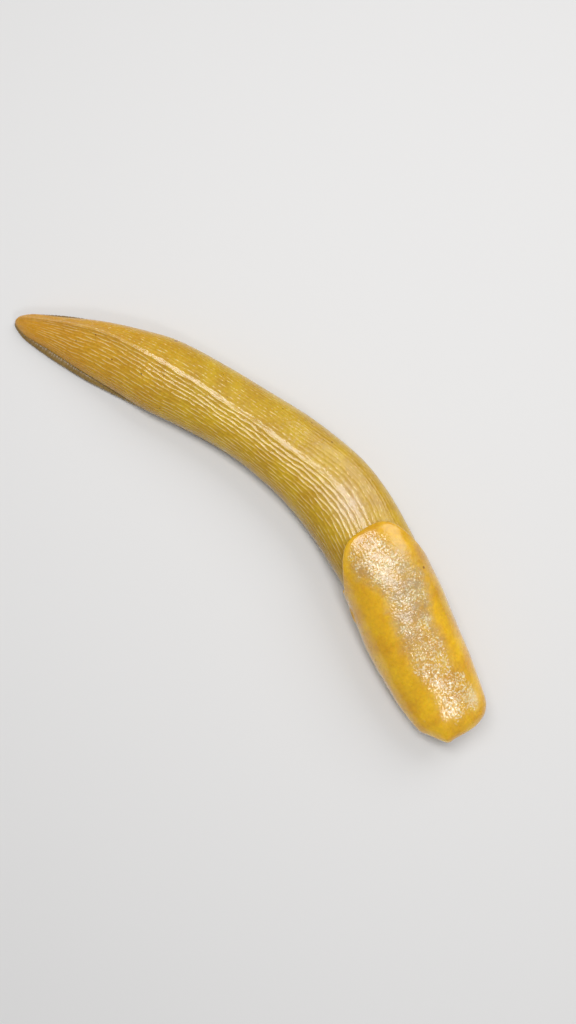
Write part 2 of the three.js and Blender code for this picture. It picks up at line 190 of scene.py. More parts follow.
# Rings crowd between the first two and the last two of four places. Counts are rings in the three stretches.
BODY_PLACES = (HEAD_FRONT, 16.0, LENGTH - 2.2, LENGTH)
BODY_RINGS = (100, 760, 30)
FOOT_PLACES = (FOOT_FRONT, FOOT_FRONT + 12, FOOT_END - 5, FOOT_END)
FOOT_RINGS = (110, 960, 60)
MANTLE_SHARES = (0, 0.16, 0.97, 1)
MANTLE_RINGS = (80, 340, 26)
TENTACLE_RINGS = 60
AROUND = dict(body=521, belly=10, fringe=26, sole=7, mantle=381, lining=121, rim=6, tentacle=48)

# Facts that the material reads, and what they are where a part doesn't give them. Relief darkens the grooves;
# the four after it hold painted glints, a painted highlight, a painted sheen and painted shade.
FACTS = dict(along=0, relief=1, glint=0, keel_and_highlight=0, sheen_zone=0, shade=1)


def make_camera():
    """The camera, at the photo's viewing angle."""
    turn = Matrix.Rotation(math.radians(PHOTO_TURN), 3, "Z")
    lean = math.radians(CAMERA_LEAN)
    middle = Vector((*PHOTO_MIDDLE, 0.0))
    away = turn @ Vector((0.0, -math.sin(lean), math.cos(lean))) * CAMERA_DISTANCE
    back = away.normalized()
    right = turn @ Vector((1.0, 0.0, 0.0))
    up = back.cross(right)
    data = bpy.data.cameras.new("camera")
    data.sensor_width = SENSOR
    data.lens = FOCAL_PX / PHOTO_HEIGHT * SENSOR
    data.clip_start = CLIP_START
    camera = bpy.data.objects.new("camera", data)
    matrix = Matrix((right, up, back)).transposed().to_4x4()
    matrix.translation = (middle + away) * MM
    camera.matrix_world = matrix
    bpy.context.collection.objects.link(camera)
    bpy.context.scene.camera = camera


make_camera()


# Smooth values along the body


def track(*knots):
    """A smooth value along the body from (distance from the front, value) knots, with no overshoot."""
    places, values = np.array(knots, float).T
    rise = np.diff(values) / np.diff(places)
    slope = np.zeros(len(places))
    slope[0], slope[-1] = rise[0], rise[-1]
    for i in range(1, len(places) - 1):
        before, after = rise[i - 1], rise[i]
        if before * after > 0:
            slope[i] = 2 * before * after / (before + after)

    def value(s):
        s = np.clip(np.asarray(s, float), places[0], places[-1])
        i = np.clip(np.searchsorted(places, s, side="right") - 1, 0, len(places) - 2)
        span = places[i + 1] - places[i]
        t = (s - places[i]) / span
        ease = t * t * (3 - 2 * t)
        push = t * (1 - t) * span
        return (
            values[i]
            + (values[i + 1] - values[i]) * ease
            + push * ((1 - t) * slope[i] - t * slope[i + 1])
        )

    return value


# The body's course in degrees, its sizes and the shares that shape its cross-section
direction = track(
    (0, 93.8), (14, 93), (38, 88), (60, 94.7), (82, 108.6), (102, 120.2), (131, 128.6), (158, 133.2),
    (LENGTH, 136.2),
)
half_width = track(
    (0, 6), (15, 9.9), (38, 11), (62, 12.1), (74, 12.2), (90, 11.4), (114, 10.5), (134, 10.8), (148, 9.2),
    (160, 7.1), (170, 4.8), (178, 3.2), (LENGTH, 0.8),
)
top_height = track(
    (0, 6.5), (8, 9.4), (15, 11.2), (30, 13.9), (50, 15.3), (74, 15.4), (108, 13.9), (136, 12.4), (154, 10),
    (168, 7.2), (178, 4.5), (LENGTH, 2.2),
)
groove_height = track((0, 2.2), (20, 2.8), (128, 2.7), (163, 2), (LENGTH, 1))
widest_share = track((0, 0.5), (128, 0.46), (168, 0.36), (LENGTH, 0.5))
roundness = track((60, 2.25), (128, 2.1), (166, 1.75), (LENGTH, 1.9))
keel_height = track((60, 0), (80, 0.25), (138, 0.5), (163, 0.8), (180, 0.3))
keel_lean = track(
    (60, 0), (74, 1.1), (94, -0.2), (108, 0), (126, 1.6), (142, 3.2), (156, 4.3), (166, 3.4), (176, 2.2),
    (LENGTH, 1.2),
)
foot_half_width = track(
    (0, 9), (20, 10.1), (48, 10.8), (78, 11.2), (110, 10.2), (138, 10.2), (154, 9.4), (166, 7.5), (176, 4.9),
    (LENGTH, 2.4),
)
mantle_half_width = track((0, 8.4), (8, 10.4), (22, 12.3), (38, 12.9), (52, 12.7), (MANTLE_LENGTH, 13.2))
mantle_height = track(
    (0, 10.4), (10, 13.4), (22, 16), (38, 17.5), (50, 17.9), (58, 17.6), (MANTLE_LENGTH, 16.6)
)
mantle_edge_height = track((0, 7.8), (14, 6.6), (48, 6.8), (MANTLE_LENGTH, 7.6))
mantle_inset = track((0, MANTLE_THICKNESS), (8, MANTLE_THICKNESS), (18, 3.4), (MANTLE_LENGTH, 3.0))

# The sheen along the mantle: its middle and half width in radians, how grey it is and its share of glints
sheen_middle = track((8, 0.3), (13, 0.3), (22, 0.1), (34, 0.08), (44, 0.22), (52, -0.05), (60, -0.25))
sheen_half = track((8, 0.45), (13, 0.5), (22, 0.45), (34, 0.42), (44, 0.5), (52, 0.6), (60, 0.45))
sheen_grey = track((8, 0.1), (20, 0.25), (30, 0.6), (42, 1.0), (53, 0.6), (60, 0.3))
sheen_glints = track((3, 0.6), (9, 1.2), (20, 1.05), (32, 0.8), (42, 0.75), (55, 0.95), (62, 0.7))

# The middle line as points every step, found by following its direction from the nose
SPINE_STEP = 0.25
spine_s = np.arange(0, LENGTH + SPINE_STEP / 2, SPINE_STEP)
spine_turn = np.radians(direction(spine_s[:-1] + SPINE_STEP / 2))
spine_x = NOSE[0] + np.concatenate([[0], np.cumsum(np.cos(spine_turn))]) * SPINE_STEP
spine_y = NOSE[1] + np.concatenate([[0], np.cumsum(np.sin(spine_turn))]) * SPINE_STEP


def place(s, u, z):
    """Points (mm) from distances along the body, to the slug's left, and up."""
    s, u, z = np.broadcast_arrays(s, u, z)
    turn = np.radians(direction(s))
    beyond = s - np.clip(s, 0, LENGTH)
    x = np.interp(s, spine_s, spine_x) + u * np.sin(turn) + beyond * np.cos(turn)
    y = np.interp(s, spine_s, spine_y) - u * np.cos(turn) + beyond * np.sin(turn)
    return np.stack([x, y, z], -1)


def oval(share, power):
    """A share from 0 to 1 that rounds off like the end of an oval."""
    return (1 - (1 - np.clip(share, 0, 1)) ** power) ** (1 / power)


def smooth(value, low, high):
    """0 below low, 1 above high, and a smooth rise between them."""
    t = np.clip((value - low) / (high - low), 0, 1)
    return t * t * (3 - 2 * t)


def bell(value, middle, half):
    """1 at the middle, falling off smoothly to about a third at half to each side."""
    return np.exp(-(((value - middle) / half) ** 2))


def spot(s, angle, at):
    """1 at a spot of the skin, falling off smoothly round it."""
    return bell(s, at["s"], at["along"]) * bell(angle, at["angle"], at["around"])


def between(low, high, share):
    return low + (high - low) * share


def inner_shares(count):
    """Shares that part a line from 0 to 1 evenly, without its ends."""
    return np.linspace(0, 1, count + 2)[1:-1]


def crowded(places, counts, power=2):
    """Places from the first to the last of four, which crowd towards both ends."""
    start, first, last, end = places
    near_start, middle, near_end = counts
    return np.concatenate([
        start + (first - start) * np.linspace(0, 1, near_start) ** power,
        np.linspace(first, last, middle)[1:],
        end - (end - last) * (1 - np.linspace(0, 1, near_end)[1:]) ** 2,
    ])


# Noise

DICE_SEED = 2654435761
DICE_FACTORS = (374761393, 668265263, 2246822519)
DICE_MIX = 1274126177
LOW_BITS = 0xFFFFFF
FAR = 9.0  # farther than any distance that counts


def dice(*cell, seed=0):
    """Numbers from 0 to 1 that depend only on whole-number places and a seed."""
    total = np.full(np.broadcast(*cell).shape, seed * DICE_SEED % 2**32, np.uint32)
    for number, factor in zip(cell, DICE_FACTORS):
        total = total ^ (np.asarray(number).astype(np.int64) * factor % 2**32).astype(np.uint32)
        total = (total ^ (total >> np.uint32(13))) * np.uint32(DICE_MIX)
    return ((total ^ (total >> np.uint32(16))) & np.uint32(LOW_BITS)) / float(LOW_BITS)


def noise(points, size, seed=0):
    """Smooth noise from -1 to 1 at points (..., 3), with lumps about as far apart as size."""
    scaled = points / size
    cell = np.floor(scaled)
    t = scaled - cell
    t = t * t * (3 - 2 * t)
    total = 0.0
    for corner in np.ndindex(2, 2, 2):
        weight = 1.0
        for axis in range(3):
            weight = weight * (t[..., axis] if corner[axis] else 1 - t[..., axis])
        total = total + weight * dice(*(cell[..., axis] + corner[axis] for axis in range(3)), seed=seed)
    return total * 2 - 1


def layered(points, layers):
    """The sum of layers of noise, each given by its size, strength and seed."""
    return sum(noise(points, size, seed=seed) * strength for size, strength, seed in layers)


def cells(points, size, seed=0):
    """Distances to the nearest and the second nearest of points scattered about size apart."""
    scaled = points / size
    cell = np.floor(scaled)
    near = np.full(points.shape[:-1], FAR)
    second = near.copy()
    for step in np.ndindex(3, 3, 3):
        place_of = [cell[..., axis] + step[axis] - 1 for axis in range(3)]
        gap = 0.0
        for axis in range(3):
            gap = gap + (place_of[axis] + dice(*place_of, seed=seed + axis + 1) - scaled[..., axis]) ** 2
        gap = np.sqrt(gap)
        second = np.minimum(second, np.maximum(near, gap))
        near = np.minimum(near, gap)
    return near, second


# Shapes


def arch(shape, angle):
    """Across and up on an arched cross-section: angle 0 is its top and a quarter turn its widest point."""
    side, size = np.sign(angle), np.abs(angle)
    power = 2 / shape["power"]
    upper = np.clip(size, 0, QUARTER)
    low = np.clip((size - QUARTER) / (LOW_ANGLE - QUARTER), 0, 1) * QUARTER
    rise = (shape["top"] - shape["widest"]) * np.cos(upper).clip(0) ** power
    u = shape["width"] * np.sin(upper) ** power - shape["tuck"] * (1 - np.cos(low))
    z = shape["widest"] + rise - (shape["widest"] - shape["groove"]) * np.sin(low)
    return side * u, z


def grid_normals(points):
    """Outward normals of a grid of points (from head to tail, from right to left over the top)."""
    normal = np.cross(np.gradient(points, axis=1), np.gradient(points, axis=0))
    size = np.linalg.norm(normal, axis=-1, keepdims=True)
    return normal / np.maximum(size, 1e-9)


def body_base(s, angle):
    """Across, up and points of the body's surface without relief, rounded off at both ends."""
    back = s - HEAD_FRONT
    tip = oval((LENGTH - s) / TAIL_ROUND, 2)
    front = oval(back / SNOUT, FRONT_POWER) * tip
    chin = oval(back / CHIN, 2) * tip
    low = groove_height(s) - BODY_SINK
    widest = np.maximum(top_height(s) * widest_share(s), low + LEAST_FLANK)
    width = half_width(s) * front
    shape = dict(
        width=width,
        top=widest + (top_height(s) - widest) * front,
        widest=widest,
        power=roundness(s),
        groove=widest - (widest - low) * chin,
        tuck=width * FLANK_TUCK,
    )
    u, z = arch(shape, angle)
    keel_and_highlight = keel_height(s) * bell(angle, 0, KEEL_ANGLE) * tip
    lean = keel_lean(s) * ((z - low) / (top_height(s) - low)) ** 2
    return u, z, place(s, u + lean, z + keel_and_highlight)


def tubercles(s, angle, points):
    """Relief from 0 in the grooves to 1 on the crests of long, staggered tubercles, and painted glints along
    the crests.
    """
    row = angle / QUARTER * ROWS + layered(points, ROW_NOISE)
    number = np.floor(row)
    along = s / TUBERCLE["length"] + layered(points, PIECE_NOISE)
    sway = TUBERCLE["sway"] * np.sin(2 * np.pi * along)
    row = row + np.where(number % 2 == 0, sway, -sway)
    number = np.floor(row)
    across = np.abs(2 * (row - number) - 1)
    piece = along * between(*TUBERCLE["lengths"], dice(number, seed=12)) + dice(number, seed=11)
    end = np.abs(2 * (piece - np.floor(piece)) - 1)
    height = between(*TUBERCLE["heights"], dice(number, np.floor(piece), seed=13))
    crown = TUBERCLE_CROWN
    relief = between(1 - across ** crown["slope"], bell(across, 0, crown["half"]), crown["share"])
    relief = relief * (1 - crown["end_drop"] * end ** crown["end_power"]) * height
    # Painted glints: lines along the crests, in dashes on the right side and in dots and dashes on the left
    lane = np.stack(np.broadcast_arrays(s / DASH["length"], number * DASH["apart"], 0.5), -1)
    dash = smooth(noise(lane, 1.0, seed=14) + DASH["by_height"] * height, *DASH["edge"])
    dot = smooth(noise(points, DOT["size"], seed=15), *DOT["edge"])
    broken = np.where(angle < 0, DASH["right"] * dash, dot + DASH["left"] * dash)
    line = bell(across, 0, CREST_GLINT["half"]) * (1 - end ** CREST_GLINT["end_power"])
    return relief, line * broken


def lips_and_mouth(s, u, z):
    """Lift of the lobes each side of the mouth, less the slit between them, and the slit alone."""
    along, across, up = LIPS["half"]
    height = z - LIPS["z"]
    lobes = 0.0
    for side in (-1, 1):
        gap = ((s - LIPS["s"]) / along) ** 2 + ((u - side * LIPS["u"]) / across) ** 2 + (height / up) ** 2
        lobes = lobes + np.exp(-(gap ** LIPS["power"]))
    slit = bell(u, 0, MOUTH["half"]) * np.exp(-((height / MOUTH["height"]) ** 4))
    slit = slit * (1 - smooth(s, *MOUTH["end"]))
    return LIPS["lift"] * lobes - MOUTH["depth"] * slit, slit


def body_part():
    """The body from snout to tail: rings that run over it and back along its belly."""
    s = crowded(BODY_PLACES, BODY_RINGS)
    s, angle = np.meshgrid(s, np.linspace(-LOW_ANGLE, LOW_ANGLE, AROUND["body"]), indexing="ij")
    u, z, base = body_base(s, angle)
    normal = grid_normals(base)
    relief, glint = tubercles(s, angle, base)
    mouth, slit = lips_and_mouth(s, u, z)

    rows = smooth(s, *ROWS_IN) * (1 - WEAKER["tail"] * smooth(s, *ROWS_OUT))
    rows = rows * smooth(LOW_ANGLE - np.abs(angle), *FLANK_IN)
    strength = rows * (1 - WEAKER["left"] * smooth(angle, *LEFT_IN))
    left_lines = 1 - WEAKER["left_lines"] * smooth(angle, *LEFT_LINES_OUT)
    shown = np.where(angle < 0, smooth(angle, *RIGHT_LINES_IN), left_lines)
    # The ridge along the back, which also carries a painted highlight
    ridge = bell(angle, 0, RIDGE["half"]) * smooth(s, *RIDGE_IN)
    ridge = ridge * (RIDGE["least"] + layered(base, RIDGE_NOISE))
    # A band of painted sheen along the back's ridge
    sheen_band = bell(angle, 0, SHEEN_BAND["half"]) * smooth(s, *SHEEN_BAND_IN)

    lift = TUBERCLE["height"] * strength * (relief - TUBERCLE["mean"]) * (1 - WEAKER["by_ridge"] * ridge)
    wrinkles = layered(base * WRINKLE_SQUASH, HEAD_WRINKLES)
    lift = lift + wrinkles * (1 - smooth(s, *WRINKLES_OUT)) * smooth(s, *WRINKLES_IN)
    lift = lift + layered(base, BODY_LUMPS) * smooth(s, *LUMPS_IN) + mouth
    lift = lift + layered(base, BODY_GRAIN) * smooth(s, *GRAIN_IN)
    lift[-2:] = 0  # the tip of the tail stays smooth
    points = base + normal * lift[..., None]
    under = inner_shares(AROUND["belly"])[None, :, None]
    belly = points[:, -1:] * (1 - under) + points[:, :1] * under

    # Painted shade: in the mouth's slit, low on the flanks, on the right side and on the right flank by the
    # mantle's rear
    by_mantle = bell(s, MANTLE_SHADE["s"], MANTLE_SHADE["along"]) * smooth(-angle, *MANTLE_SHADE_IN)
    darker = DARKER["mouth"] * slit + DARKER["low"] * smooth(np.abs(angle), *LOW_SHADE_IN)
    darker = darker + DARKER["right"] * smooth(-angle, *RIGHT_SHADE_IN) + DARKER["by_mantle"] * by_mantle
    # Facts for the material: relief darkens the grooves as painted shade, then painted glints along the
    # crests, a painted highlight along the back's ridge with painted sheen beside it, a painted sheen behind
    # the mantle, and painted shade
    facts = dict(
        along=s / LENGTH,
        relief=between(PLAIN_RELIEF["body"], relief, strength),
        glint=glint * rows * between(LEAST_LINES, 1, shown),
        keel_and_highlight=RIDGE["pale"] * ridge + SHEEN_BAND["pale"] * sheen_band,
        sheen_zone=spot(s, angle, BACK_SHEEN),
        shade=1 - darker,
    )
    return np.concatenate([points, belly], axis=1), facts


def foot_part():
    """The foot: rings that run round its grooved fringe, along its flat sole and back over its top."""
    s = crowded(FOOT_PLACES, FOOT_RINGS)[:, None]
    front = oval((s - FOOT_FRONT) / FOOT_ROUND["front"], FRONT_POWER)
    rear = oval((FOOT_END - s) / FOOT_ROUND["rear"], 2)
    half = foot_half_width(s) * front * rear
    ends = oval((s - FOOT_FRONT) / FOOT_RIM["ends"], 2) * oval((FOOT_END - s) / FOOT_RIM["ends"], 2)
    top = (groove_height(s) + FOOT_RIM["rise"]) * ends
    waist = np.maximum(half - FOOT_RIM["width"], half * FOOT_RIM["least"])
    theta = np.linspace(QUARTER, -QUARTER, AROUND["fringe"])[None, :]
    outward, upward = np.cos(theta).clip(0), np.sin(theta)
    out_power, up_power = FOOT_RIM["powers"]
    edge_u = waist + (half - waist) * outward**out_power
    edge_z = top / 2 * (1 + np.sign(upward) * np.abs(upward) ** up_power)
    phase = s / FRINGE["pitch"] + sum(reach * np.sin(s * rate) for reach, rate in FRINGE["sways"])
    groove = (1 - np.abs(np.sin(np.pi * phase))) ** 2
    edge_u = edge_u - FRINGE["depth"] * groove * outward ** FRINGE["power"] * np.minimum(half, 1)
    edge_z = edge_z - FRINGE["depth"] / 2 * groove * upward.clip(0) * ends
    sole_u = waist * (1 - 2 * inner_shares(AROUND["sole"])[None, :])
    zero = np.zeros_like(sole_u)
    u = np.concatenate([edge_u, sole_u, -edge_u[:, ::-1], -sole_u], axis=1)
    z = np.concatenate([edge_z, zero, edge_z[:, ::-1], zero + top], axis=1)
    stripes = groove * np.where(theta > 0, 1, outward ** FRINGE["stripe_power"])
    facts = dict(
        along=np.broadcast_to(s / LENGTH, u.shape),
        relief=1 - np.concatenate([stripes, zero, stripes[:, ::-1], zero], axis=1),
    )
    return place(np.broadcast_to(s, u.shape), u, z), facts


def bump(shape, at):
    """How far a bump of the mantle's front edge reaches ahead at a distance to the slug's left."""
    return shape["ahead"] * bell(at, shape["u"], shape["half"])


def mantle_rear(angle):
    return MANTLE_LENGTH - MANTLE_LOBE * np.abs(np.sin(angle)) ** 3


def mantle_surface(share, angle, inside=False):
    """Distance along, across and up of the mantle's outside or inside."""
    start = MANTLE_FRONT + (MANTLE_THICKNESS if inside else 0.0)
    s = start + share * (mantle_rear(angle) - start)
    inset = mantle_inset(s) if inside else 0.0
    front = oval((s - start) / MANTLE_NOSE, MANTLE_POWER["front"])
    edge = mantle_edge_height(s)
    shape = dict(
        width=(mantle_half_width(s) - inset) * front,
        top=edge + (mantle_height(s) - edge - inset) * front,
        widest=edge,
        power=MANTLE_POWER["across"],
        groove=edge - MANTLE_DRAPE["drop"],
        tuck=MANTLE_DRAPE["tuck"] * front,
    )
    u, z = arch(shape, angle)
    drop = MANTLE_LIP["drop"] * (1 - oval((mantle_rear(angle) - s) / MANTLE_LIP["length"], 2))
    near = 1 - smooth(s, MANTLE_FRONT, MANTLE_FRONT_END)
    ahead = near * (bump(MANTLE_POINT, u) + bump(MANTLE_CUT, u))
    return s - ahead, u - drop * np.sin(angle), z - drop * np.cos(angle)


def breathing_pore(s, angle, z):
    """Lift of the pore's rim, less its pit, and the pit alone, on the slug's right side."""
    along, up = PORE["half"]
    above = z - mantle_edge_height(s) - PORE["above"]
    gap = np.where(angle < 0, np.hypot((s - PORE["s"]) / along, above / up), FAR)
    pit = 1 - smooth(gap, *PORE["pit"])
    return PORE_RIM["height"] * bell(gap, PORE_RIM["at"], PORE_RIM["half"]) - PORE["depth"] * pit, pit


def creases(s, angle):
    """Shallow creases across the mantle, 1 along their middles."""
    total = 0.0
    for line in CREASES:
        reach = line["reach"] - np.abs(angle - line["angle"])
        middle = line["s"] - line["bend"] * angle**2
        total = total + bell(s, middle, CREASE["half"]) * smooth(reach, 0, line["end"])
    return total


def mantle_part():
    """The mantle as a thick sheet: rings that run over its outside and back along its inside."""
    share = crowded(MANTLE_SHARES, MANTLE_RINGS, power=3)
    t, angle = np.meshgrid(share, np.linspace(-MANTLE_SIDE, MANTLE_SIDE, AROUND["mantle"]), indexing="ij")
    s, u, z = mantle_surface(t, angle)
    outer = place(s, u, z)
    normal = grid_normals(outer)
    to_rear = mantle_rear(angle) - s
    to_side = MANTLE_SIDE - np.abs(angle)

    # The sheen band: coarser granules there, with a painted greyish sheen and painted glints
    from_middle = np.abs(angle - sheen_middle(s)) / sheen_half(s)
    sheen_zone = 1 - smooth(from_middle + layered(outer, SHEEN_NOISE), *SHEEN_EDGE)
    sheen_zone = sheen_zone * smooth(to_rear, *SHEEN_ENDS["rear"]) * smooth(s, *SHEEN_ENDS["front"])
    glints = smooth(layered(outer, GLINT_NOISE) + sheen_zone * sheen_glints(s), *GLINT_EDGE)
    rough = between(LEAST_ROUGH, 1, sheen_zone)
    near, second = cells(outer, GRANULE["size"], seed=31)
    granule = smooth(second - near, *GRANULE["edge"]) * (GRANULE["middle"] + layered(outer, GRANULE_NOISE))

    calm = smooth(s, *CALM["front"]) * smooth(to_rear, *CALM["rear"]) * smooth(to_side, *CALM["side"])
    lumps = layered(outer, MANTLE_LUMPS) + layered(outer, MANTLE_GRAIN) * rough
    lift = (GRANULE["height"] * rough * (granule - GRANULE["mean"]) + lumps) * calm
    crease = creases(s, angle)
    pore, pit = breathing_pore(s, angle, z)
    lift = lift - CREASE["depth"] * crease - DENT_DEPTH * spot(s, angle, DENT) + pore
    outer = outer + normal * lift[..., None]

    back = np.linspace(MANTLE_SIDE, -MANTLE_SIDE, AROUND["lining"])
    lining = place(*mantle_surface(*np.meshgrid(share, back, indexing="ij"), inside=True))
    turn = inner_shares(AROUND["rim"]) * math.pi
    over = ((1 - np.cos(turn)) / 2)[None, :, None]
    bulge = np.sin(turn) * MANTLE_RIM["bulge"] * smooth(t[:, :1], 0, MANTLE_RIM["share"])

    def rim(a, b):
        """Points from a border point a to b, bulging downwards."""
        line = a[:, None] * (1 - over) + b[:, None] * over
        line[..., 2] -= bulge
        return line

    left_rim = rim(outer[:, -1], lining[:, 0])
    right_rim = rim(lining[:, -1], outer[:, 0])
    # Painted shade: in the pore's pit, in the creases and on the left flank
    left_flank_shade = smooth(angle, *LEFT_FLANK_SHADE["angle"]) * smooth(s, *LEFT_FLANK_SHADE["s"])
    shade = (1 - DARKER["pore"] * pit - DARKER["crease"] * crease) * (1 - DARKER["mantle_left"] * left_flank_shade)
    # Facts for the material: relief darkens between the granules as painted shade, then painted glints, the
    # painted greyish sheen, a painted highlight near the front, and painted shade
    facts = dict(
        along=s / LENGTH,
        relief=between(PLAIN_RELIEF["mantle"], granule, rough),
        glint=glints,
        sheen_zone=sheen_zone * sheen_grey(s),
        keel_and_highlight=GLEAM_PALE * spot(s, angle, GLEAM),
        shade=shade,
    )
    return np.concatenate([outer, left_rim, lining, right_rim], axis=1), facts


def tentacle_part(s, u, z, length, radius, side):
    """A tentacle drawn in to a stub, with rings of wrinkles and a flared root."""
    turn = np.radians(direction(s) + 180 + side * TENTACLE_SPLAY)
    ahead = np.array([math.cos(turn), math.sin(turn), 0.0])
    across = np.array([-math.sin(turn), math.cos(turn), 0.0])
    up = np.array([0, 0, 1.0])
    root = place(np.array(s), np.array(side * u), np.array(z))
    t = np.linspace(0, 1, TENTACLE_RINGS)[:, None]
    around = np.linspace(0, 2 * math.pi, AROUND["tentacle"], endpoint=False)[None, :, None]
    y = (length + TENTACLE_ROOT) * np.sin(t * QUARTER) - TENTACLE_ROOT
    cap = radius * TENTACLE_TIP
    tip = np.sqrt(np.clip(1 - ((y - (length - cap)) / cap).clip(0, 1) ** 2, 0, 1))
    flare = TENTACLE_FLARE
    from_root = ((y + flare["at"]) / flare["length"]).clip(0)
    wrinkle = np.sin(y / TENTACLE_WRINKLE["pitch"] * 2 * math.pi)
    r = radius * tip * (1 + flare["share"] * np.exp(-(from_root ** flare["power"])))
    r = r * (1 + TENTACLE_WRINKLE["depth"] * wrinkle)
    r[0] = 0
    ring = root + ahead * y[..., None] + (across * np.cos(around) + up * np.sin(around)) * r[..., None]
    # Relief, which darkens the troughs of the wrinkles as painted shade
    relief = TENTACLE_WRINKLE["middle"] + TENTACLE_WRINKLE["relief"] * wrinkle
    return ring, dict(relief=np.broadcast_to(relief, ring.shape[:2]))


# Meshes

# Patches (x, y, width, height) of the UV map
PATCHES = dict(body=(0.01, 0.34, 0.98, 0.4), foot=(0.01, 0.76, 0.98, 0.22), mantle=(0.01, 0.01, 0.7, 0.3))
TENTACLE_PATCH = dict(x=(0.73, 0.06), y=(0.02, 0.15), size=(0.05, 0.12))
CAP_MARGIN = 0.001
MERGE_DISTANCE = 2e-6
SHORTEST_EDGE = 1e-6


def make_mesh(name, ring, facts, patch):
    """A closed mesh from rings of points, with its facts as attributes and a patch of the UV map."""
    rows, around = ring.shape[:2]
    points = ring.reshape(-1, 3) * MM
    r, i = np.meshgrid(np.arange(rows - 1), np.arange(around), indexing="ij")
    j = (i + 1) % around
    quads = np.stack([r * around + i, r * around + j, (r + 1) * around + j, (r + 1) * around + i], -1)
    quads = quads.reshape(-1, 4)
    x, y, w, h = patch
    across = np.stack([i, i + 1, i + 1, i], -1).reshape(-1, 4) / around
    along = np.stack([r, r, r + 1, r + 1], -1).reshape(-1, 4) / (rows - 1)
    uv = np.stack([x + along * w, y + across * h], -1).reshape(-1, 2)

    # Fans of triangles close both ends
    corners = np.concatenate([points, points[:around].mean(0)[None], points[-around:].mean(0)[None]])
    n = rows * around
    k = np.arange(around)
    start = np.stack([np.full(around, n), (k + 1) % around, k], -1)
    last = (rows - 1) * around
    end = np.stack([np.full(around, n + 1), last + k, last + (k + 1) % around], -1)
    faces = [tuple(face) for group in (quads, start, end) for face in group.tolist()]
    caps = np.concatenate([
        np.tile([[x + CAP_MARGIN, y]], (3 * around, 1)),
        np.tile([[x + w - CAP_MARGIN, y]], (3 * around, 1)),
    ])

    mesh = bpy.data.meshes.new(name)
    mesh.from_pydata(corners.tolist(), [], faces)
    layer = mesh.uv_layers.new(name="OFBake")
    layer.data.foreach_set("uv", np.concatenate([uv, caps]).ravel().astype(np.float32))
    for fact, default in FACTS.items():
        whole = np.full((rows, around), float(default))
        given = facts.get(fact, whole)
        whole[:, : given.shape[1]] = given
        flat = whole.reshape(-1)
        whole = np.concatenate([flat, [flat[0], flat[-1]]]).astype(np.float32)
        mesh.attributes.new(fact, "FLOAT", "POINT").data.foreach_set("value", whole)
    mesh.polygons.foreach_set("use_smooth", np.ones(len(mesh.polygons), bool))
    obj = bpy.data.objects.new(name, mesh)
    bpy.context.collection.objects.link(obj)
    return obj


def tidy(obj):
    """Joins points that lie together and turns the faces outwards."""
    bm = bmesh.new()
    bm.from_mesh(obj.data)
    bmesh.ops.remove_doubles(bm, verts=bm.verts, dist=MERGE_DISTANCE)
    bmesh.ops.dissolve_degenerate(bm, edges=bm.edges, dist=SHORTEST_EDGE)
    bmesh.ops.recalc_face_normals(bm, faces=bm.faces)
    bm.to_mesh(obj.data)
    bm.free()


def make_skin():
    """The closed shells of the skin: body, foot, mantle and four tentacles."""
    shells = [
        make_mesh("skin_body", *body_part(), PATCHES["body"]),
        make_mesh("skin_foot", *foot_part(), PATCHES["foot"]),
        make_mesh("skin_mantle", *mantle_part(), PATCHES["mantle"]),
    ]
    (x, x_step), (y, y_step) = TENTACLE_PATCH["x"], TENTACLE_PATCH["y"]
    for number, (name, sizes) in enumerate(TENTACLES.items()):
        for side in (-1, 1):
            patch = (x + x_step * number, y + y_step * (side > 0), *TENTACLE_PATCH["size"])
            shells.append(make_mesh(f"{name}_{side}", *tentacle_part(**sizes, side=side), patch))
    for shell in shells:
        tidy(shell)
    return shells


# Materials


def srgb(r, g, b):
    """Linear colour from 0 to 255 display values."""
    return tuple(((c / 255 + 0.055) / 1.055) ** 2.4 if c > 10 else c / 255 / 12.92 for c in (r, g, b))


def grey(value):
    return (value, value, value)


# In each look the pale colour is that of painted highlights and glints, the sheen colour a painted sheen, and
# the groove tint darkens the grooves: painted shade on the body and mantle, darker stripes along the foot's
# fringe. The strength of the lines is that of the painted glints.
LOOKS = {
    "body": dict(
        dark=srgb(192, 150, 14), light=srgb(206, 168, 20), tail=srgb(216, 150, 20), pale=srgb(252, 230, 172),
        sheen_zone=srgb(214, 184, 144), groove=(0.95, 0.92, 0.84), rough=(0.26, 0.42), bump=0.22, subsurface=0.2,
        coat=0.8, lines=0.8,
    ),
    "foot": dict(
        dark=srgb(140, 112, 50), light=srgb(160, 130, 62), tail=srgb(134, 108, 60), pale=srgb(180, 160, 110),
        sheen_zone=grey(0), groove=(0.4, 0.37, 0.33), rough=(0.35, 0.55), bump=0.3, subsurface=0.15, coat=0.3,
        lines=0.0,
    ),
    "mantle": dict(
        dark=srgb(220, 162, 0), light=srgb(238, 188, 4), tail=srgb(236, 188, 8), pale=srgb(255, 246, 216),
        sheen_zone=srgb(186, 170, 142), groove=(0.86, 0.82, 0.7), rough=(0.24, 0.4), bump=0.35, subsurface=0.25,
        coat=1.0, lines=0.72,
    ),
}

# Noise of the skin's patterns: size in mm, detail and roughness
PATTERNS = dict(
    clouds=(6, 3, 0.5),
    mottle=(2.6, 5, 0.7),
    spots=(0.55, 2, 0.5),
    curls=(1.0, 2, 0.5),
    pieces=(2.2, 3, 0.5),
    fine=(0.9, 4, 0.5),
    freckles=(1.7, 1, 0.5),
    gloss=(1.4, 3, 0.5),
    pits=(0.4, 3, 0.6),
)

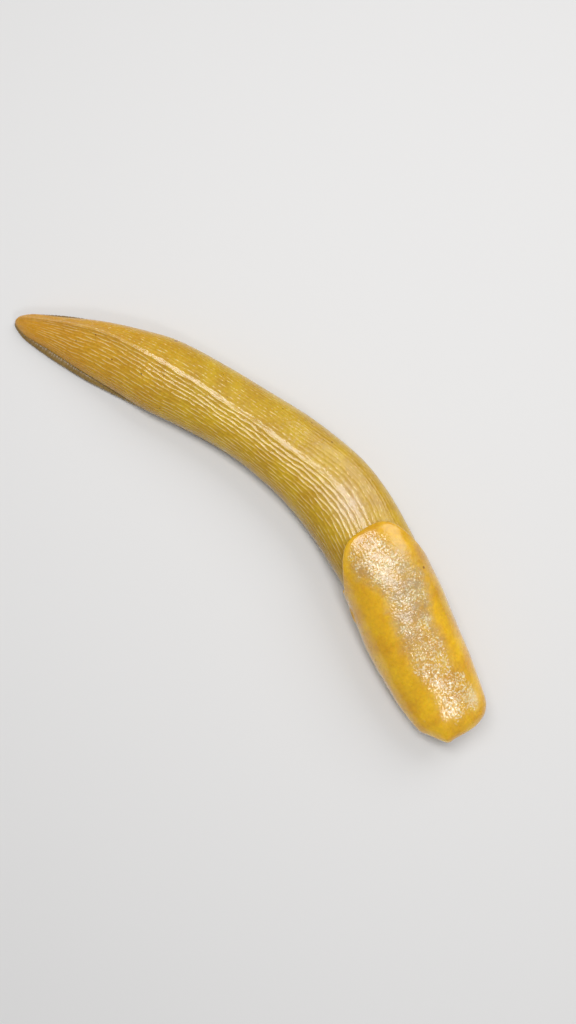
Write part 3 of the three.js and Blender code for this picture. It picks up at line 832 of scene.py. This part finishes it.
# Stops of the patterns: where on the noise or the fact they lie, and their values. All but the tail, fine and
# freckle stops paint light or shade.
TAIL_STOPS = ((0.68, grey(0)), (0.98, grey(0.85)))
MOTTLE_STOPS = ((0.35, grey(0.35)), (0.62, grey(1)))
SHEEN_ZONE_STOPS = ((0, grey(0)), (1, grey(0.85)))
KEEL_HIGHLIGHT_STOPS = ((0, grey(0)), (1, grey(0.6)))
MORE_GLINTS = ((0, grey(0)), (1, grey(0.26)))
SPOT_STOPS = ((0.75, grey(0)), (0.87, grey(1)))
CURL_STOPS = ((0.47, grey(0)), (0.5, grey(0.8)), (0.53, grey(0)))
PIECE_STOPS = ((0.68, grey(0)), (0.82, grey(1)))
FINE_STOPS = ((0.3, (0.88, 0.85, 0.8)), (0.7, (1.05, 1.05, 1.05)))
FRECKLE_STOPS = ((0.2, (0.45, 0.36, 0.25)), (0.23, grey(1)))
SHADE_STOPS = ((0, (0.1, 0.06, 0.03)), (1, grey(1)))
CLOUD_EDGE = (0.35, 0.65)
# Edges of the painted glints along the crests and of the painted shade in the grooves
CREST_GLINT_EDGE = (0.05, 0.8)
GROOVE_EDGE = (0, 0.45)
GLOSS_EDGE = (0.35, 0.65)
PIT_DEPTH = 0.1
SKIN = {
    "Subsurface Radius": (1.0, 0.5, 0.12),
    "Subsurface Scale": 1.4 * MM,
    "Coat Roughness": 0.1,
    "Coat IOR": 1.5,
    "IOR": 1.38,
}


def set_inputs(node, values):
    for name, value in values.items():
        node.inputs[name].default_value = value


class Painter:
    """Makes nodes of a material and links them."""

    def __init__(self, name):
        self.material = bpy.data.materials.new(name)
        self.material.use_nodes = True
        self.tree = self.material.node_tree
        self.shader = self.tree.nodes["Principled BSDF"]
        self.coordinates = self.node("ShaderNodeTexCoord").outputs["Object"]

    def node(self, type_name, **settings):
        made = self.tree.nodes.new(type_name)
        for setting, value in settings.items():
            setattr(made, setting, value)
        return made

    def link(self, source, socket):
        self.tree.links.new(source, socket)

    def fact(self, name):
        return self.node("ShaderNodeAttribute", attribute_name=name).outputs["Fac"]

    def speckle(self, size, detail, rough):
        made = self.node("ShaderNodeTexNoise")
        set_inputs(made, {"Scale": 1 / (size * MM), "Detail": detail, "Roughness": rough})
        self.link(self.coordinates, made.inputs["Vector"])
        return made.outputs["Fac"]

    def ramp(self, source, *stops):
        """A colour that runs through stops of (place, colour) as its source goes from 0 to 1."""
        made = self.node("ShaderNodeValToRGB")
        elements = made.color_ramp.elements
        while len(elements) < len(stops):
            elements.new(0.5)
        for element, (at, colour) in zip(elements, stops):
            element.position = at
            element.color = (*colour, 1)
        self.link(source, made.inputs["Fac"])
        return made.outputs["Color"]

    def mix(self, how, a, b, factor=1.0):
        """Two colours mixed. Each input is a colour, a number or the output of a node."""
        made = self.node("ShaderNodeMix", data_type="RGBA", blend_type=how)
        for socket, value in zip((made.inputs[0], made.inputs[6], made.inputs[7]), (factor, a, b)):
            if isinstance(value, tuple):
                socket.default_value = (*value, 1)
            elif isinstance(value, float):
                socket.default_value = value
            else:
                self.link(value, socket)
        return made.outputs[2]


def painted_glints(painter, strength):
    """Spots and short curls of light on the mantle, more of them where its fact says so."""
    more = painter.ramp(painter.fact("glint"), *MORE_GLINTS)
    spots = painter.mix("ADD", painter.speckle(*PATTERNS["spots"]), more)
    spots = painter.ramp(spots, *SPOT_STOPS)
    pieces = painter.mix("ADD", painter.speckle(*PATTERNS["pieces"]), more)
    pieces = painter.ramp(pieces, *PIECE_STOPS)
    curls = painter.ramp(painter.speckle(*PATTERNS["curls"]), *CURL_STOPS)
    curls = painter.mix("MULTIPLY", pieces, curls)
    return painter.mix("MULTIPLY", grey(strength), painter.mix("SCREEN", curls, spots))


def skin_colour(painter, kind):
    """Clouds of two colours with the tail's colour laid over them, then painted sheen, painted highlights and
    glints, grooves darkened as painted shade, a fine tone, freckles and painted shade.
    """
    look = LOOKS[kind]
    clouds = painter.speckle(*PATTERNS["clouds"])
    colour = painter.ramp(clouds, (CLOUD_EDGE[0], look["dark"]), (CLOUD_EDGE[1], look["light"]))
    to_tail = painter.ramp(painter.fact("along"), *TAIL_STOPS)
    colour = painter.mix("MIX", colour, look["tail"], to_tail)
    # Painted sheen, mottled
    mottle = painter.ramp(painter.speckle(*PATTERNS["mottle"]), *MOTTLE_STOPS)
    in_sheen_zone = painter.mix("MULTIPLY", mottle, painter.ramp(painter.fact("sheen_zone"), *SHEEN_ZONE_STOPS))
    colour = painter.mix("MIX", colour, look["sheen_zone"], in_sheen_zone)
    # Painted highlight: along the back's ridge on the body, near the front on the mantle
    keel_highlight = painter.ramp(painter.fact("keel_and_highlight"), *KEEL_HIGHLIGHT_STOPS)
    colour = painter.mix("MIX", colour, look["pale"], keel_highlight)
    # Painted glints: spots and curls on the mantle, lines along the body's crests
    if kind == "mantle":
        lines = painted_glints(painter, look["lines"])
    else:
        low, high = CREST_GLINT_EDGE
        lines = painter.ramp(painter.fact("glint"), (low, grey(0)), (high, grey(look["lines"])))
    colour = painter.mix("MIX", colour, look["pale"], lines)
    # Tints: grooves darkened as painted shade, a fine tone, freckles, and painted shade
    low, high = GROOVE_EDGE
    for tint in (
        painter.ramp(painter.fact("relief"), (low, look["groove"]), (high, grey(1))),
        painter.ramp(painter.speckle(*PATTERNS["fine"]), *FINE_STOPS),
        painter.ramp(painter.speckle(*PATTERNS["freckles"]), *FRECKLE_STOPS),
        painter.ramp(painter.fact("shade"), *SHADE_STOPS),
    ):
        colour = painter.mix("MULTIPLY", colour, tint)
    return colour


def skin_material(name, kind):
    """Wet skin: a clear coat over soft flesh, with fine pits and an uneven gloss."""
    look = LOOKS[kind]
    painter = Painter(name)
    shader = painter.shader
    painter.link(skin_colour(painter, kind), shader.inputs["Base Color"])
    gloss = painter.node("ShaderNodeMapRange")
    (low, high), (least, most) = GLOSS_EDGE, look["rough"]
    set_inputs(gloss, {"From Min": low, "From Max": high, "To Min": least, "To Max": most})
    painter.link(painter.speckle(*PATTERNS["gloss"]), gloss.inputs["Value"])
    painter.link(gloss.outputs["Result"], shader.inputs["Roughness"])
    pits = painter.node("ShaderNodeBump")
    set_inputs(pits, {"Strength": look["bump"], "Distance": PIT_DEPTH * MM})
    painter.link(painter.speckle(*PATTERNS["pits"]), pits.inputs["Height"])
    painter.link(pits.outputs["Normal"], shader.inputs["Normal"])
    painter.link(pits.outputs["Normal"], shader.inputs["Coat Normal"])
    set_inputs(shader, SKIN)
    set_inputs(shader, {"Subsurface Weight": look["subsurface"], "Coat Weight": look["coat"]})
    return painter.material


def join(pieces, name):
    """One mesh of all the pieces, which keep their own materials."""
    bpy.ops.object.select_all(action="DESELECT")
    for piece in pieces:
        piece.select_set(True)
    bpy.context.view_layer.objects.active = pieces[0]
    bpy.ops.object.join()
    pieces[0].name = name
    return pieces[0]


shells = make_skin()
for shell in shells:
    kind = shell.name.removeprefix("skin_")
    shell.data.materials.append(skin_material(shell.name, kind if kind in LOOKS else "body"))
skin = join(shells, "skin")
FLESH = [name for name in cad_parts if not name.startswith("eye")]
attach(skin, "root")
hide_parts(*FLESH)


# Eyes

EYE_CLOUD = 0.3
EYE_COLOURS = ((0.006, 0.004, 0.003, 1), (0.022, 0.014, 0.008, 1))
EYE_GLOSS = {"Roughness": 0.12, "Coat Weight": 0.6, "Coat Roughness": 0.05}
EYE_GRID = dict(segments=40, ring_count=24)


def eye_material():
    material = bpy.data.materials.new("eye")
    material.use_nodes = True
    nodes, links = material.node_tree.nodes, material.node_tree.links
    shader = nodes["Principled BSDF"]
    clouds = nodes.new("ShaderNodeTexNoise")
    clouds.inputs["Scale"].default_value = 1 / (EYE_CLOUD * MM)
    tint = nodes.new("ShaderNodeValToRGB")
    for element, colour in zip(tint.color_ramp.elements, EYE_COLOURS):
        element.color = colour
    links.new(clouds.outputs["Fac"], tint.inputs["Fac"])
    links.new(tint.outputs["Color"], shader.inputs["Base Color"])
    set_inputs(shader, EYE_GLOSS)
    return material


def make_eye(hand, material):
    low, high = (Vector(corner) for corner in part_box(f"eye_{hand}"))
    bpy.ops.mesh.primitive_uv_sphere_add(
        radius=(high - low).x / 2, location=(low + high) / 2, **EYE_GRID
    )
    eye = bpy.context.object
    eye.name = f"eye_{hand}_bead"
    bpy.ops.object.transform_apply(location=True, rotation=True, scale=True)
    bpy.ops.object.shade_smooth()
    eye.data.materials.append(material)
    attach(eye, "root")
    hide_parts(f"eye_{hand}")


dark_eye = eye_material()
for hand in ("left", "right"):
    make_eye(hand, dark_eye)


# Floor and light, in metres and watts

FLOOR = dict(size=4.0, drop=0.00002, colour=(0.74, 0.73, 0.72, 1), rough=0.7)
SKY_COLOUR = (0.95, 0.97, 1.0, 1)
SKY_STRENGTH = 0.3
LIGHTS = dict(
    sky=dict(place=(0.0, 0.1, 0.5), size=(0.14, 0.46), energy=1.45, aim=(0.0, 0.1, 0), turn=27),
    front=dict(place=(0.08, -0.34, 0.4), size=(0.08, 0.08), energy=0.4, aim=(0.025, -0.06, 0)),
    side=dict(place=(0.47, 0.17, 0.42), size=(0.4, 0.4), energy=1.3),
)


def make_floor():
    bpy.ops.mesh.primitive_plane_add(size=FLOOR["size"], location=(0, 0, -FLOOR["drop"]))
    plane = bpy.context.object
    plane.name = "floor"
    material = bpy.data.materials.new("floor")
    material.use_nodes = True
    shader = material.node_tree.nodes["Principled BSDF"]
    set_inputs(shader, {"Base Color": FLOOR["colour"], "Roughness": FLOOR["rough"]})
    plane.data.materials.append(material)


def soft_light(name, place, size, energy, aim=(0, 0, 0), turn=0.0):
    """A rectangular light of a width and a length, turned about the line to its aim."""
    data = bpy.data.lights.new(name, "AREA")
    data.shape = "RECTANGLE"
    data.size, data.size_y = size
    data.energy = energy
    light = bpy.data.objects.new(name, data)
    facing = (Vector(aim) - Vector(place)).to_track_quat("-Z", "Y").to_matrix()
    light.matrix_world = (facing @ Matrix.Rotation(math.radians(turn), 3, "Z")).to_4x4()
    light.location = place
    bpy.context.collection.objects.link(light)


def make_sky():
    world = bpy.data.worlds.new("studio")
    world.use_nodes = True
    background = world.node_tree.nodes["Background"]
    set_inputs(background, {"Color": SKY_COLOUR, "Strength": SKY_STRENGTH})
    bpy.context.scene.world = world
    bpy.context.scene.view_settings.view_transform = "Standard"


make_floor()
for name, light in LIGHTS.items():
    soft_light(name, **light)
make_sky()
